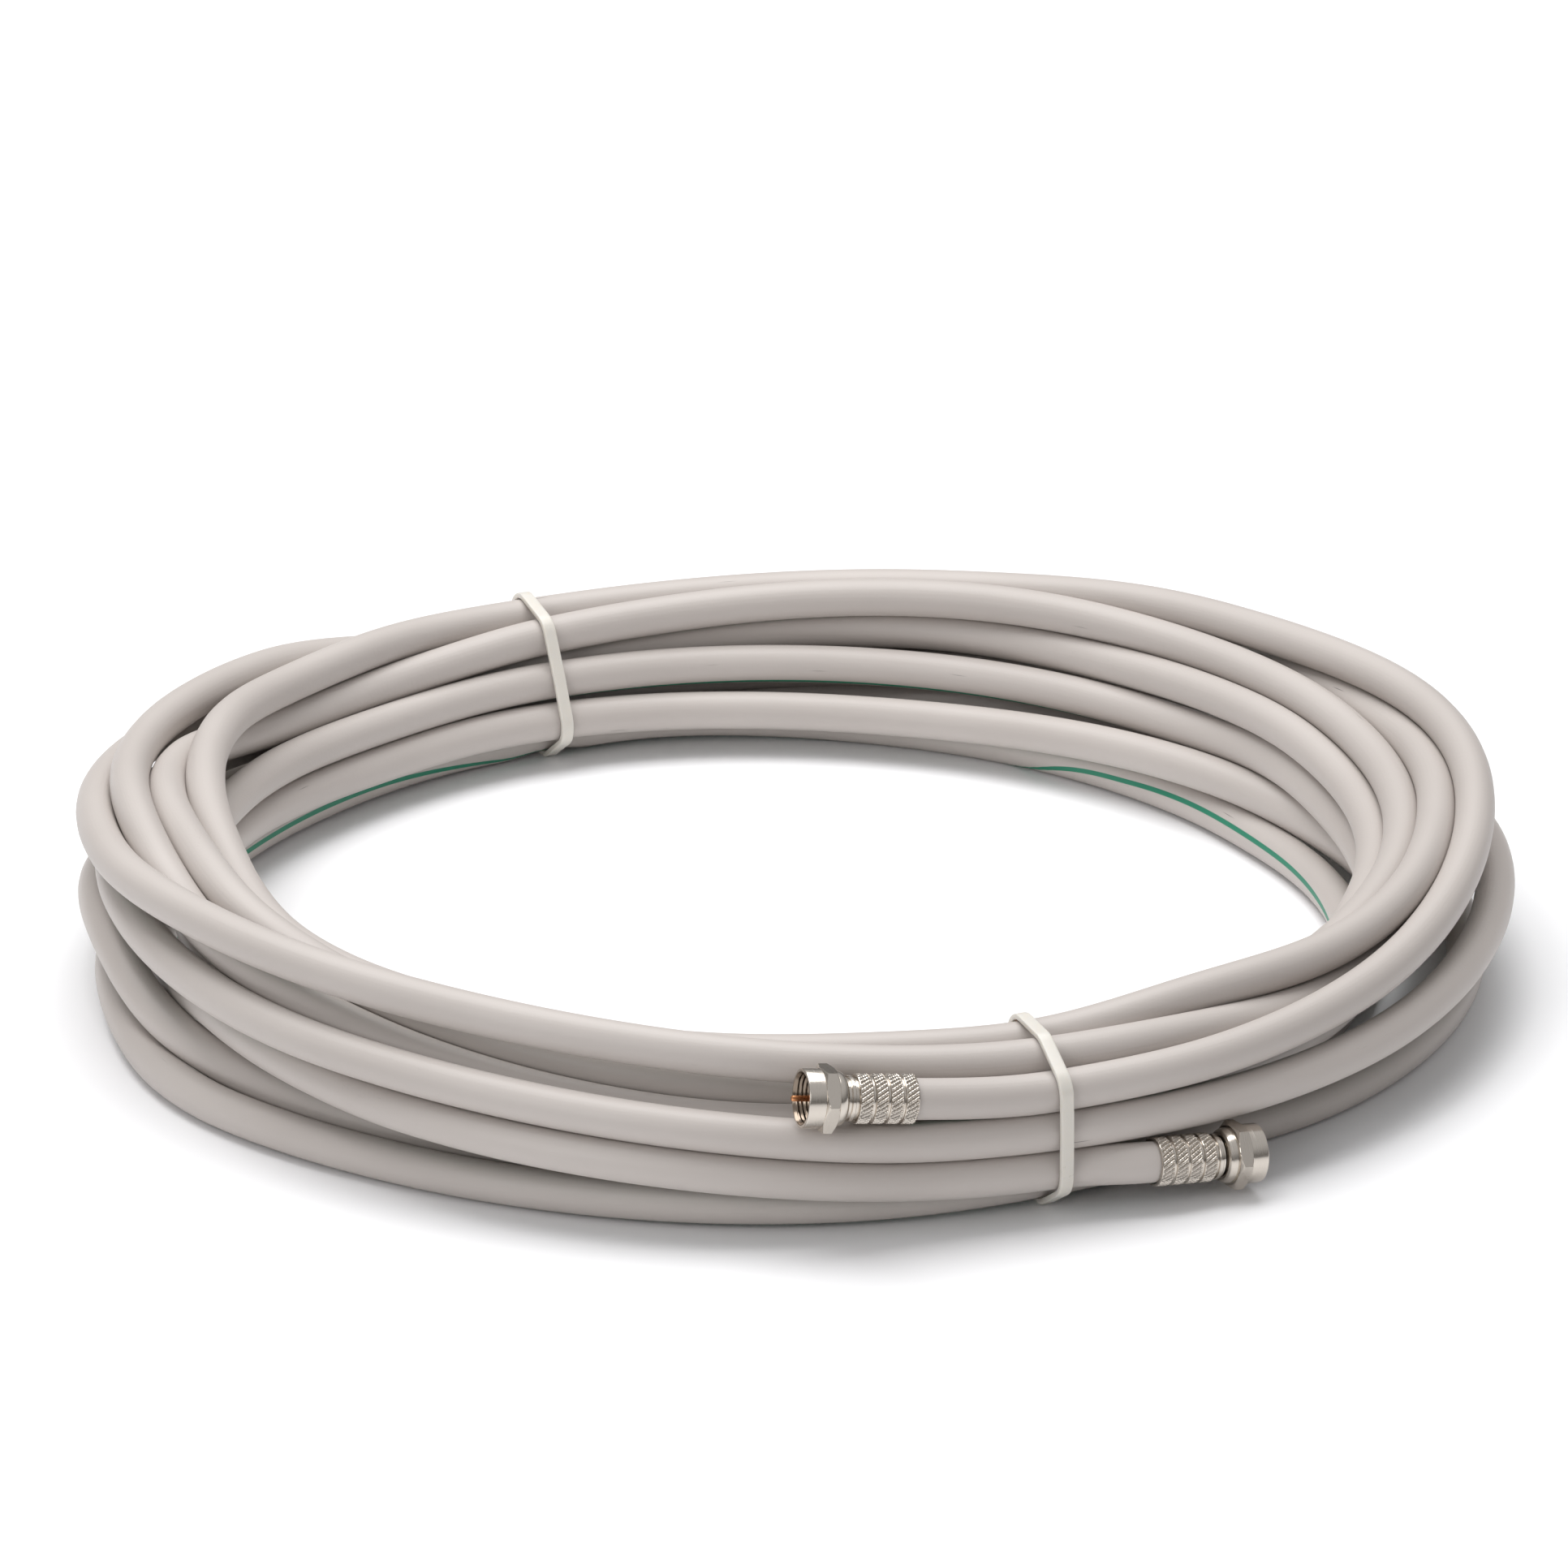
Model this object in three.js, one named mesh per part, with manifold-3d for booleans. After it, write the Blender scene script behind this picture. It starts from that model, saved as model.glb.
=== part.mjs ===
// A coil of coaxial cable: ten loose turns lying flat, held by two cable ties, with a twist-on
// F connector on each end. Millimetres, +Z up, the coil's axis on Z and its lowest turns on z = 0.
import * as THREE from 'three';
import { mergeVertices } from 'three/addons/utils/BufferGeometryUtils.js';
import Module from 'manifold-3d';

const wasm = await Module();
wasm.setup();

// Driving dimensions.
const gap = 0.3; // clearance between two pieces that touch on the real object
const cableDiameter = 7.5; // jacket outside
const coilRadius = 118; // middle of the winding, measured on the ground

const frontTieAzimuth = -68; // degrees anticlockwise from +X, seen from above
const backTieAzimuth = 115;
const tieWidth = 2.5;
const tieThickness = 1.1;
const tieHeadWidth = 4.4;
const tieHeadLength = 5.2;
const tieHeadHeight = 3.4;

const collarRadius = 5.4; // round mouth of the coupling nut
const collarLength = 3.2;
const hexAcrossFlats = 11.1; // a 7/16 inch spanner
const hexLength = 2.6;
const hexChamfer = 0.5;
const shoulderFrontRadius = 5.05;
const shoulderRearRadius = 4.3;
const shoulderLength = 1.7;
const threadRadius = 4.45; // inside the nut, where the socket screws in
const captureLength = 1.9; // rear wall of the nut, which holds the flange in
const postWall = 0.5;
const flangeLength = 0.5;
const neckRadius = 3.8;
const neckLength = 1.95;
const ringRadius = 4.15; // raised ring on the neck
const ringLength = 0.7;
const sleeveRadius = 4.5; // knurled grip
const sleeveLength = 11.1;
const sleeveBands = 4;
const grooveWidth = 0.35;
const grooveDepth = 0.3;
const sleeveChamfer = 0.25;
const insulationRadius = 2.3;
const insulationLength = 7;
const wireRadius = 0.55;

// Where the cable enters each connector's sleeve: azimuth, then out from coilRadius and up from the
// ground in cable diameters. From there the connector points outward, anticlockwise and up by its
// heading, and its hexagon is turned by its roll. The centre wire stands proud of the mouth.
const endA = { azimuth: -80.5, out: 0.98, up: 3.52, heading: [0.115, -0.985, 0.127], roll: 10, proud: 1.8 };
const endB = { azimuth: -60.25, out: 1.42, up: 1.17, heading: [0.111, 0.99, -0.09], roll: 25, proud: 0 };

// A strand that rests on a tie's strap instead of on the ground, in cable diameters.
const onTie = 0.5 + (tieThickness + gap) / cableDiameter;

// Sections of the winding round the coil, chosen by hand: for turns 1 to 10, how far each strand's
// centre lies outside coilRadius and above the ground, both in cable diameters.
const sections = [
  { azimuth: frontTieAzimuth,
    strands: [[0.8, 3.21], [-1.13, 3.68], [-0.13, 3.66], [-0.19, 2.66], [-1.19, 2.68],
      [0.81, 2.22], [0.01, onTie], [-0.19, 1.68], [-1.19, 1.69], [-0.99, onTie]] },
  { azimuth: -52,
    strands: [[0.93, 3.31], [-0.75, 4.03], [0.11, 3.51], [-0.85, 3.04], [-1.53, 2.43],
      [1.2, 2.19], [-0.29, 0.5], [-0.4, 2], [-1.2, 1.49], [-1.29, 0.5]] },
  { azimuth: -36,
    strands: [[1.2, 3.57], [0.04, 4.17], [0.2, 3.2], [-0.73, 3.47], [-1.27, 2.6],
      [1.6, 2.27], [0.37, 0.5], [-0.56, 1.87], [-1.44, 1.51], [-1.4, 0.5]] },
  { azimuth: 0,
    strands: [[1.33, 4.8], [0.44, 4.45], [1.15, 3.76], [-0.4, 3.93], [-1.07, 3.2],
      [1.92, 2.67], [1.27, 0.53], [-1.03, 2.11], [-0.4, 1.24], [-1.53, 0.5]] },
  { azimuth: 47,
    strands: [[0.88, 4.59], [1, 3.47], [1.93, 3.6], [0.13, 3.92], [-0.6, 3.24],
      [1.47, 1.84], [0.93, 0.6], [-0.93, 2.2], [-1.69, 1.45], [-1.44, 0.5]] },
  { azimuth: 76,
    strands: [[1.28, 3.85], [1.37, 2.56], [2.04, 3.28], [0.33, 3.92], [0.44, 2.97],
      [0.83, 1.76], [0.77, 0.72], [-0.6, 2.2], [-1.56, 1.19], [-0.73, 0.51]] },
  { azimuth: backTieAzimuth,
    strands: [[1.23, 3.47], [1.67, 1.59], [1.73, 2.56], [0.27, 3.23], [0.73, 2.35],
      [0.61, 1.41], [1.2, onTie], [-0.35, 2.24], [-0.8, 1.25], [0.08, onTie]] },
  { azimuth: 144,
    strands: [[0.47, 3.93], [1.87, 3], [1.4, 4.07], [0.27, 2.89], [1.15, 2.33],
      [0.87, 1.27], [1.77, 1.13], [-0.36, 2.28], [-0.59, 1.43], [0.03, 0.56]] },
  { azimuth: 167,
    strands: [[-0.47, 4.67], [1.93, 3.93], [1.27, 4.64], [0.31, 4.13], [1.07, 3.23],
      [1.13, 0.87], [1.91, 1.73], [-0.6, 2.67], [-0.43, 1.63], [0.27, 0.67]] },
  { azimuth: 190,
    strands: [[-1.04, 4.61], [1.77, 4.67], [0.87, 5.04], [-0.11, 4.87], [1.47, 3.53],
      [1.55, 0.67], [1.76, 2.33], [-0.67, 3.13], [-0.53, 1.87], [0.51, 1.13]] },
  { azimuth: 213,
    strands: [[-1.13, 3.81], [1.13, 4.87], [0.64, 4], [-0.27, 4.47], [1.4, 3.33],
      [1.6, 0.56], [0.8, 1.09], [-0.8, 2.93], [-0.67, 1.6], [0.8, 2.17]] },
  { azimuth: 236,
    strands: [[-1.69, 3.6], [0.2, 4.63], [0.12, 3.12], [-0.71, 3.67], [1.07, 3.13],
      [0.8, 0.52], [-0.09, 1.07], [-1.13, 2.47], [-1.13, 0.96], [1.13, 2.09]] },
];
const lastStrand = [0.82, 1.24]; // where turn 10 ends, back at the front tie

// Mesh fineness.
const stepsRound = 66; // sections drawn round the coil
const pointsRound = 40; // points of one section
const tubeSides = 10;
const turnedSides = 24;
const arcSteps = 3; // of a tie's corner over one strand

const cableRadius = cableDiameter / 2;
const turns = sections[0].strands.length;
const radians = THREE.MathUtils.degToRad;

// Materials.
const jacket = new THREE.MeshStandardMaterial({ color: 0xcac4c0, roughness: 0.55 });
const nylon = new THREE.MeshStandardMaterial({ color: 0xdedace, roughness: 0.45 });
const nickel = new THREE.MeshStandardMaterial({ color: 0xc9c2b8, roughness: 0.25, metalness: 1 });
const copper = new THREE.MeshStandardMaterial({ color: 0xb87544, roughness: 0.3, metalness: 1 });
const foam = new THREE.MeshStandardMaterial({ color: 0xf0efec, roughness: 0.6 });

// Solids and meshes.

function solidOf(geometry) {
  const bare = geometry.clone();
  bare.deleteAttribute('normal');
  bare.deleteAttribute('uv');
  const merged = mergeVertices(bare, 1e-4);
  return new wasm.Manifold(new wasm.Mesh({
    numProp: 3,
    vertProperties: merged.attributes.position.array,
    triVerts: new Uint32Array(merged.index.array),
  }));
}

function geometryOf(solid) {
  const { vertProperties, triVerts } = solid.getMesh();
  const geometry = new THREE.BufferGeometry();
  geometry.setAttribute('position', new THREE.BufferAttribute(vertProperties, 3));
  geometry.setIndex(new THREE.BufferAttribute(triVerts, 1));
  geometry.computeVertexNormals();
  return geometry;
}

function piece(name, geometry, material) {
  const mesh = new THREE.Mesh(geometry, material);
  mesh.name = name;
  return mesh;
}

// The winding: one strand's centre at any azimuth, by cubic curves through the hand-made sections.

const stations = [];
for (let turn = 0; turn < turns; turn++) {
  for (const { azimuth, strands } of sections) {
    const [out, up] = strands[turn];
    const tied = azimuth === frontTieAzimuth || azimuth === backTieAzimuth;
    stations.push({ angle: azimuth + 360 * turn, out, up, tied });
  }
}
const [lastOut, lastUp] = lastStrand;
stations.push({ angle: frontTieAzimuth + 360 * turns, out: lastOut, up: lastUp, tied: true });

// Slope of one value at a station: none in a tie, which holds the strands side by side, and
// elsewhere the weighted mean of the slopes on its two sides.
function slopeAt(i, key) {
  if (stations[i].tied) return 0;
  const [before, here, after] = stations.slice(i - 1, i + 2);
  const left = here.angle - before.angle;
  const right = after.angle - here.angle;
  const rise = (here[key] - before[key]) / left;
  const fall = (after[key] - here[key]) / right;
  return (rise * right + fall * left) / (left + right);
}

function valueAt(angle, key) {
  let i = 0;
  while (i < stations.length - 2 && stations[i + 1].angle <= angle) i++;
  const span = stations[i + 1].angle - stations[i].angle;
  const t = (angle - stations[i].angle) / span;
  const start = (1 + 2 * t) * (1 - t) ** 2 * stations[i][key];
  const leave = t * (1 - t) ** 2 * span * slopeAt(i, key);
  const end = t * t * (3 - 2 * t) * stations[i + 1][key];
  const arrive = t * t * (t - 1) * span * slopeAt(i + 1, key);
  return start + leave + end + arrive;
}

// Centre of the cable at an angle counted on through all its turns: distance from the axis and height.
function strandAt(angle) {
  return new THREE.Vector2(
    coilRadius + cableDiameter * valueAt(angle, 'out'),
    cableDiameter * valueAt(angle, 'up'),
  );
}

// The strands side by side at an azimuth, counted from the front tie, as far as the cable reaches.
function strandsAt(fromTie, turnCount) {
  const found = [];
  for (let turn = 0; turn < turnCount; turn++) {
    found.push(strandAt(frontTieAzimuth + fromTie + 360 * turn));
  }
  return found;
}

// A point of the coil at an azimuth, a distance from the axis and a height.
function onCoil(azimuth, distance, height) {
  const a = radians(azimuth);
  return new THREE.Vector3(distance * Math.cos(a), distance * Math.sin(a), height);
}

// Outline of a bundle, as the farthest strand surface along rays from its middle. The strands that
// rest on the ground are flattened a little, so that the coil has faces to stand on.
function bundleOutline(strands) {
  const middle = new THREE.Vector2();
  strands.forEach((s) => middle.addScaledVector(s, 1 / strands.length));
  const seat = cableRadius / 7;
  const outline = [];
  for (let i = 0; i < pointsRound; i++) {
    const a = (2 * Math.PI * i) / pointsRound;
    const ray = new THREE.Vector2(Math.cos(a), Math.sin(a));
    let reach = cableRadius;
    for (const strand of strands) {
      const offset = strand.clone().sub(middle);
      const along = offset.dot(ray);
      const inside = along * along - offset.lengthSq() + cableRadius * cableRadius;
      if (inside >= 0) reach = Math.max(reach, along + Math.sqrt(inside));
    }
    const point = middle.clone().addScaledVector(ray, reach);
    if (point.y < seat) point.y = 0;
    outline.push(point);
  }
  return outline;
}

// The coil as one turned ring, each of its sections then drawn out to the bundle at its azimuth. The
// first and the last section stand a hair apart under the front tie: turn 1 starts at the one and
// turn 10 ends at the other.
function coilSolid() {
  const blank = [];
  for (let i = 0; i <= pointsRound; i++) {
    const a = (2 * Math.PI * i) / pointsRound;
    blank.push(new THREE.Vector2(coilRadius + Math.cos(a), Math.sin(a)));
  }
  const ring = new THREE.LatheGeometry(blank, stepsRound + 1);
  const position = ring.attributes.position;
  const hair = 0.02;
  for (let step = 0; step <= stepsRound + 1; step++) {
    const closing = step === stepsRound + 1;
    const share = closing ? 0 : step / stepsRound;
    const fromTie = hair + share * (360 - 2 * hair);
    const outline = bundleOutline(strandsAt(fromTie, turns));
    for (let i = 0; i <= pointsRound; i++) {
      const { x, y } = outline[i % pointsRound];
      const p = onCoil(frontTieAzimuth + fromTie, x, y);
      position.setXYZ(step * (pointsRound + 1) + i, p.x, p.y, p.z);
    }
  }
  return solidOf(ring);
}

// A round bar along a path.
function tubeSolid(path, radius, steps) {
  const section = new THREE.Shape();
  for (let i = 0; i < tubeSides; i++) {
    const a = (2 * Math.PI * i) / tubeSides;
    const x = radius * Math.cos(a);
    const y = radius * Math.sin(a);
    if (i === 0) section.moveTo(x, y);
    else section.lineTo(x, y);
  }
  return solidOf(new THREE.ExtrudeGeometry(section, { extrudePath: path, steps }));
}

// The free ends, each from the step in the coil under the front tie to its connector.

const tailSteps = 4;

// Middle of the sleeve's rear face, and the way from there to the connector's mouth.
function sleeveEnd({ azimuth, out, up }) {
  return onCoil(azimuth, coilRadius + cableDiameter * out, cableDiameter * up);
}

function towardsMouth({ azimuth, heading: [outward, anticlockwise, up] }) {
  return onCoil(azimuth, outward, up).add(onCoil(azimuth + 90, anticlockwise, 0)).normalize();
}

function tailPath(end, angle, side) {
  const { x, y } = strandAt(angle);
  const start = onCoil(angle, x, y);
  const along = onCoil(angle + 90, side, 0);
  const finish = sleeveEnd(end);
  const out = towardsMouth(end).negate();
  const reach = start.distanceTo(finish);
  start.addScaledVector(along, gap);
  finish.addScaledVector(out, gap);
  return new THREE.CubicBezierCurve3(
    start,
    start.clone().addScaledVector(along, reach / 3),
    finish.clone().addScaledVector(out, reach / 3),
    finish,
  );
}

const tailPathA = tailPath(endA, frontTieAzimuth, -1);
const tailPathB = tailPath(endB, frontTieAzimuth + 360 * turns, 1);

// Cable ties.

// The strands at the outside of a bundle, anticlockwise.
function hullOf(strands) {
  const points = [...strands].sort((a, b) => a.x - b.x || a.y - b.y);
  const chain = (list) => {
    const kept = [];
    for (const p of list) {
      while (kept.length > 1) {
        const [a, b] = kept.slice(-2);
        if ((b.x - a.x) * (p.y - a.y) > (b.y - a.y) * (p.x - a.x)) break;
        kept.pop();
      }
      kept.push(p);
    }
    return kept.slice(0, -1);
  };
  return [...chain(points), ...chain(points.reverse())];
}

// A band at a distance from the strands' centres: straight between strands and round over each.
function bandOutline(hull, distance) {
  const points = [];
  hull.forEach((here, i) => {
    const before = hull[(i + hull.length - 1) % hull.length];
    const after = hull[(i + 1) % hull.length];
    const facing = (a, b) => Math.atan2(a.x - b.x, b.y - a.y);
    const from = facing(before, here);
    let turn = facing(here, after) - from;
    if (turn < 0) turn += 2 * Math.PI;
    for (let k = 0; k <= arcSteps; k++) {
      const a = from + (turn * k) / arcSteps;
      points.push(new THREE.Vector2(here.x + distance * Math.cos(a), here.y + distance * Math.sin(a)));
    }
  });
  return points;
}

// A tie: a strap round the bundle, with its locking head on one side, in the plane of its azimuth.
function tieGeometry(strands, headInside) {
  const hull = hullOf(strands);
  const inner = cableRadius + gap;
  const strap = new THREE.Shape(bandOutline(hull, inner + tieThickness));
  strap.holes.push(new THREE.Path(bandOutline(hull, inner)));
  const band = new THREE.ExtrudeGeometry(strap, { depth: tieWidth, bevelEnabled: false });
  band.translate(0, 0, -tieWidth / 2);

  const sides = hull.map((s) => s.x);
  const side = headInside ? Math.min(...sides) : Math.max(...sides);
  const sign = headInside ? -1 : 1;
  const face = side + sign * (inner + tieThickness / 2);
  const beside = hull.filter((s) => Math.abs(s.x - side) < cableRadius / 2);
  const height = beside.reduce((sum, s) => sum + s.y, 0) / beside.length;
  const head = new THREE.BoxGeometry(tieHeadHeight, tieHeadLength, tieHeadWidth);
  head.translate(face + (sign * tieHeadHeight) / 2, height, 0);
  return geometryOf(solidOf(band).add(solidOf(head)));
}

// Stands a flat section (distance from the axis, height) up in the plane of an azimuth.
function standUp(mesh, azimuth) {
  const outward = onCoil(azimuth, 1, 0);
  const up = new THREE.Vector3(0, 0, 1);
  const across = new THREE.Vector3().crossVectors(outward, up);
  mesh.quaternion.setFromRotationMatrix(new THREE.Matrix4().makeBasis(outward, up, across));
  return mesh;
}

// Connectors, turned about +Z with the mouth at z = 0 and the cable coming in from +Z.

const shoulderStart = collarLength + hexLength;
const nutLength = shoulderStart + shoulderLength;
const captureStart = nutLength - captureLength;
const flangeRadius = threadRadius - gap;
const flangeEnd = captureStart - gap;
const flangeStart = flangeEnd - flangeLength;
const boreRadius = insulationRadius + gap;
const postRadius = boreRadius + postWall;
const neckStart = nutLength + gap;
const sleeveStart = neckStart + neckLength;
const connectorLength = sleeveStart + sleeveLength;
const insulationEnd = flangeStart + insulationLength;

// Turns a profile of [radius, z] corners, listed anticlockwise: closed on itself, or on the axis.
function turned(corners) {
  const profile = corners.map(([r, z]) => new THREE.Vector2(r, z));
  if (profile[0].x > 0) profile.push(profile[0].clone());
  return new THREE.LatheGeometry(profile, turnedSides).rotateX(Math.PI / 2);
}

// The coupling nut: round mouth, six flats with their corners turned off, a tapered shoulder, and
// a rear wall that closes round the body's post.
function nutGeometry() {
  const holeRadius = postRadius + gap;
  const hexStart = collarLength;
  const shell = solidOf(turned([
    [threadRadius, 0],
    [collarRadius, 0],
    [collarRadius, hexStart + hexChamfer],
    [shoulderFrontRadius, hexStart + hexChamfer],
    [shoulderFrontRadius, shoulderStart],
    [shoulderRearRadius, nutLength],
    [holeRadius, nutLength],
    [holeRadius, captureStart],
    [threadRadius, captureStart],
  ]));
  const cornerRadius = hexAcrossFlats / Math.sqrt(3);
  const flatRadius = hexAcrossFlats / 2;
  const disc = solidOf(turned([
    [threadRadius, hexStart],
    [flatRadius, hexStart],
    [cornerRadius, hexStart + hexChamfer],
    [cornerRadius, shoulderStart - hexChamfer],
    [flatRadius, shoulderStart],
    [threadRadius, shoulderStart],
  ]));
  const hexagon = new THREE.CylinderGeometry(cornerRadius, cornerRadius, nutLength, 6);
  hexagon.rotateX(Math.PI / 2).translate(0, 0, nutLength / 2);
  return geometryOf(disc.intersect(solidOf(hexagon)).add(shell));
}

// The body: a flanged post inside the nut, a neck with a raised ring, and the grip sleeve, whose
// knurled bands are parted by narrow grooves.
function bodyGeometry() {
  const ringStart = neckStart + (neckLength - ringLength) / 2;
  const corners = [
    [0, insulationEnd + gap],
    [boreRadius, insulationEnd + gap],
    [boreRadius, flangeStart],
    [flangeRadius, flangeStart],
    [flangeRadius, flangeEnd],
    [postRadius, flangeEnd],
    [postRadius, neckStart],
    [neckRadius, neckStart],
    [neckRadius, ringStart],
    [ringRadius, ringStart],
    [ringRadius, ringStart + ringLength],
    [neckRadius, ringStart + ringLength],
    [neckRadius, sleeveStart],
    [sleeveRadius - sleeveChamfer, sleeveStart],
    [sleeveRadius, sleeveStart + sleeveChamfer],
  ];
  const grooveRadius = sleeveRadius - grooveDepth;
  for (let band = 1; band < sleeveBands; band++) {
    const middle = sleeveStart + (sleeveLength * band) / sleeveBands;
    const front = middle - grooveWidth / 2;
    const rear = middle + grooveWidth / 2;
    corners.push([sleeveRadius, front], [grooveRadius, front], [grooveRadius, rear], [sleeveRadius, rear]);
  }
  corners.push(
    [sleeveRadius, connectorLength - sleeveChamfer],
    [sleeveRadius - sleeveChamfer, connectorLength],
    [0, connectorLength],
  );
  return turned(corners);
}

function insulationGeometry() {
  const hole = wireRadius + gap;
  return turned([
    [hole, flangeStart],
    [insulationRadius, flangeStart],
    [insulationRadius, insulationEnd],
    [hole, insulationEnd],
  ]);
}

function wireGeometry(proud) {
  const tip = wireRadius / 3;
  return turned([
    [0, -proud],
    [wireRadius - tip, -proud],
    [wireRadius, tip - proud],
    [wireRadius, insulationEnd - gap],
    [0, insulationEnd - gap],
  ]);
}

// One connector with its nut, insulation and centre wire, at an end of the cable.
function connector(letter, end) {
  const group = new THREE.Group();
  const nut = piece(`coupling_nut_${letter}`, nutGeometry(), nickel);
  nut.rotation.z = radians(end.roll);
  group.add(
    nut,
    piece(`connector_body_${letter}`, bodyGeometry(), nickel),
    piece(`insulation_${letter}`, insulationGeometry(), foam),
    piece(`centre_wire_${letter}`, wireGeometry(end.proud), copper),
  );
  const heading = towardsMouth(end);
  group.position.copy(sleeveEnd(end)).addScaledVector(heading, connectorLength);
  group.quaternion.setFromUnitVectors(new THREE.Vector3(0, 0, 1), heading.negate());
  return group;
}

// The whole coil, moved so that its box stands centred on the origin.

const tailRoom = cableRadius + gap;
const coil = coilSolid()
  .subtract(tubeSolid(tailPathA, tailRoom, tailSteps))
  .subtract(tubeSolid(tailPathB, tailRoom, tailSteps));
const tailA = tubeSolid(tailPathA, cableRadius, tailSteps);
const tailB = tubeSolid(tailPathB, cableRadius, tailSteps);

const frontStrands = [...strandsAt(0, turns), strandAt(frontTieAzimuth + 360 * turns)];
const backStrands = strandsAt(backTieAzimuth - frontTieAzimuth, turns);

const part = new THREE.Group();
part.add(
  piece('cable_coil', geometryOf(coil), jacket),
  piece('cable_tail_a', geometryOf(tailA), jacket),
  piece('cable_tail_b', geometryOf(tailB), jacket),
  standUp(piece('cable_tie_front', tieGeometry(frontStrands, true), nylon), frontTieAzimuth),
  standUp(piece('cable_tie_back', tieGeometry(backStrands, false), nylon), backTieAzimuth),
  connector('a', endA),
  connector('b', endB),
);

const box = new THREE.Box3().setFromObject(part, true);
const middle = box.getCenter(new THREE.Vector3());
part.position.set(-middle.x, -middle.y, -box.min.z);

export default part;
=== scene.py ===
# %% [markdown]
# # A coil of coaxial cable
#
# The object is one length of aerial cable, about seven and a half metres of it, wound into a flat
# coil the size of a dinner plate. Two nylon cable ties hold the turns together, and each end carries
# a twist-on F connector with a loose coupling nut. The model of its solids comes from a CAD file and
# is the fixed frame here. These cells dress it: they make the camera, the cable, the ties, the
# connectors, the finishes and the light, in that order.
#
# Lengths in these cells are in millimetres wherever a name says mm, and in metres otherwise, because
# Blender works in metres.

import bpy
import numpy as np
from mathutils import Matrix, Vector


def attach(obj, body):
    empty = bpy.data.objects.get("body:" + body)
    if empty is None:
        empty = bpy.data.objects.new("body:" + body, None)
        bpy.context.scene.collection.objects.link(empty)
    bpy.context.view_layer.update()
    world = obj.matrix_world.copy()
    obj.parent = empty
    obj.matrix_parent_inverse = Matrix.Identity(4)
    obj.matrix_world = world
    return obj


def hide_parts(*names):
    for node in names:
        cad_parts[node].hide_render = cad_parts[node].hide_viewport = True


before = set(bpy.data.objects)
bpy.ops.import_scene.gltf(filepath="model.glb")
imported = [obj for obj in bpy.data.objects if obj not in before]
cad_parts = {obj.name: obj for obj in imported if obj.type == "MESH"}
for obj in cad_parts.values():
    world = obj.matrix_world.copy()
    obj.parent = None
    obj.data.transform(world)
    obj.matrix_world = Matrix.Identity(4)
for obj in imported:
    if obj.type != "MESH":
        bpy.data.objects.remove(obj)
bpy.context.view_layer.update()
scene = bpy.context.scene
MM = 0.001

# %% [markdown]
# ## Camera
#
# The photograph looks down on the coil from the front with a long lens, so the back of the coil is
# only a little smaller than its front. A camera in Blender is placed by a point and a turn. Here the
# turn is given as an elevation, and the camera stands back from a target along that line, raised by
# a small amount that sets the coil a little below the middle of the picture. The focal length goes
# with a 36 mm sensor that covers the whole width of the square picture.

# %% Camera
SENSOR_MM = 36.0
FOCAL_MM = 221.46
ELEVATION = np.radians(22.0)
STAND_OFF_MM = 1830.0
TARGET_MM = np.array([-0.04, -0.85, 17.0])
ASIDE_MM = -2.15
RAISED_MM = 18.3

look = np.array([0.0, np.cos(ELEVATION), -np.sin(ELEVATION)])
right = np.array([1.0, 0.0, 0.0])
up = np.cross(right, look)
eye_mm = TARGET_MM + ASIDE_MM * right + RAISED_MM * up - STAND_OFF_MM * look

camera_data = bpy.data.cameras.new("camera")
camera_data.sensor_width = SENSOR_MM
camera_data.lens = FOCAL_MM
camera_data.clip_start = 0.1
camera_data.clip_end = 20.0
camera = bpy.data.objects.new("camera", camera_data)
camera.location = Vector(eye_mm * MM)
camera.rotation_mode = "QUATERNION"
camera.rotation_quaternion = Vector(look).to_track_quat("-Z", "Y")
scene.collection.objects.link(camera)
scene.camera = camera
print("camera at", np.round(eye_mm, 1).tolist(), "mm")

# %% [markdown]
# ## The route of the cable
#
# The turns lie in a bundle that is loose between the ties: strands cross over and under each other,
# some ride up and one leaves the bundle on the left. The photograph never shows more than about seven
# strands at one place. Following them round the coil, over and under each other, suggests ten turns,
# and the hidden ones are placed where they fill the bundle. A physics simulation could wind such a
# coil, but it wouldn't put the strands where the photograph has them. So the bundle is drawn in
# twelve sections round the coil, ten points in each, and a smooth curve joins them through all turns.
# A cubic curve is enough, because a cable bends evenly: each span needs only the two points at its
# ends and the slopes there, and the slopes come from the neighbouring points.

# %% Sections of the winding
CABLE_MM = 7.5
COIL_RADIUS_MM = 118.0
CENTRE_MM = np.array([-0.03, -0.82])
GAP_MM = 0.3
TIE_THICK_MM = 1.1
FRONT_TIE = -68.0
BACK_TIE = 115.0
ON_TIE = 0.5 + (TIE_THICK_MM + GAP_MM) / CABLE_MM

azimuths = np.array([FRONT_TIE, -52, -36, 0, 47, 76, BACK_TIE, 144, 167, 190, 213, 236])

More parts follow.
